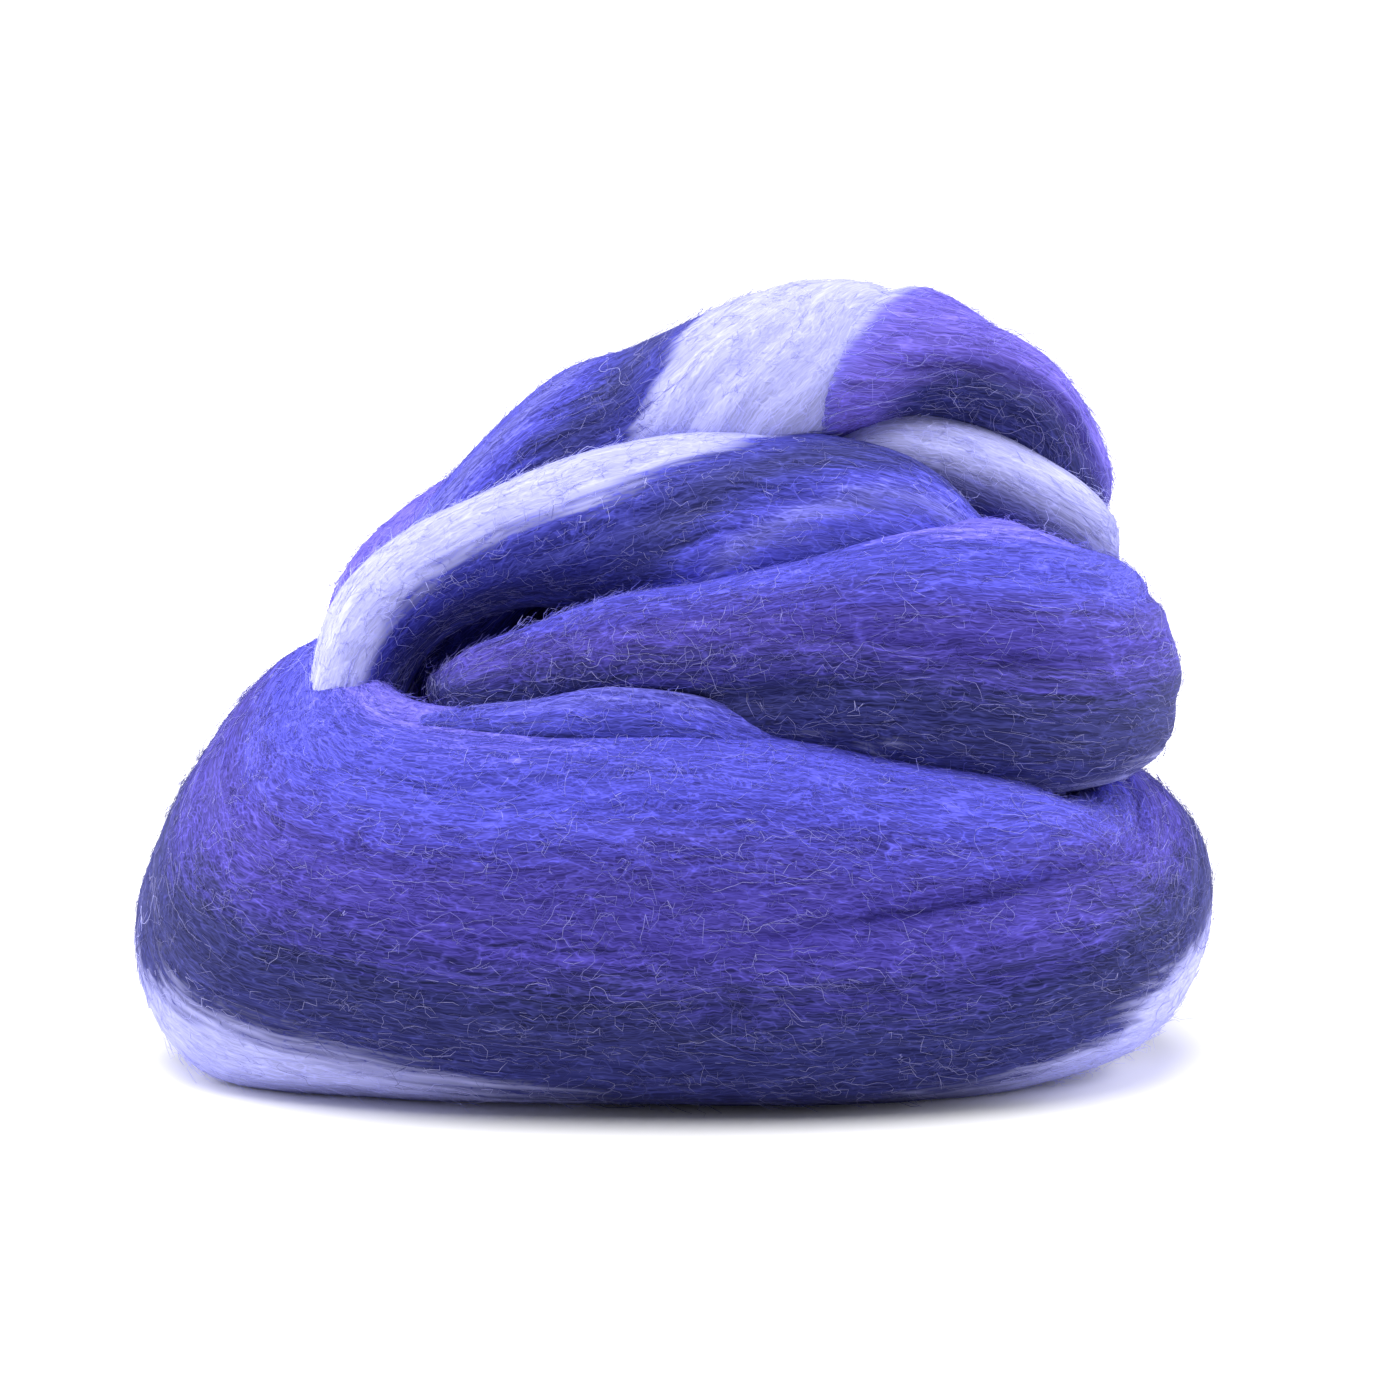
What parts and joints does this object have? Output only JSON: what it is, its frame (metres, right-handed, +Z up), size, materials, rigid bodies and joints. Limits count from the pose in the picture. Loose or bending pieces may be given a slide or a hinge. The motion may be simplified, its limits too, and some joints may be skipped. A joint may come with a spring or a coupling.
{
  "type": "wool roving",
  "caption": "Loose heap of combed wool roving: a thick untwisted strand with blue, violet and pale stripes, folded over itself and resting on a flat underside.",
  "frame": {"origin": "on the floor, under the middle of the heap", "axes": "+X along the heap to the right as seen from the front, +Y to the back, +Z up"},
  "size_m": [0.1789, 0.1258, 0.127],
  "materials": {
    "combed_wool": "combed wool fibres lying along the strand, with a soft sheen and loose curls on the surface, striped along its length in pale lavender, navy, violet and periwinkle"
  },
  "bodies": {
    "root": {"wool_roving": "combed_wool"}
  },
  "joints": []
}
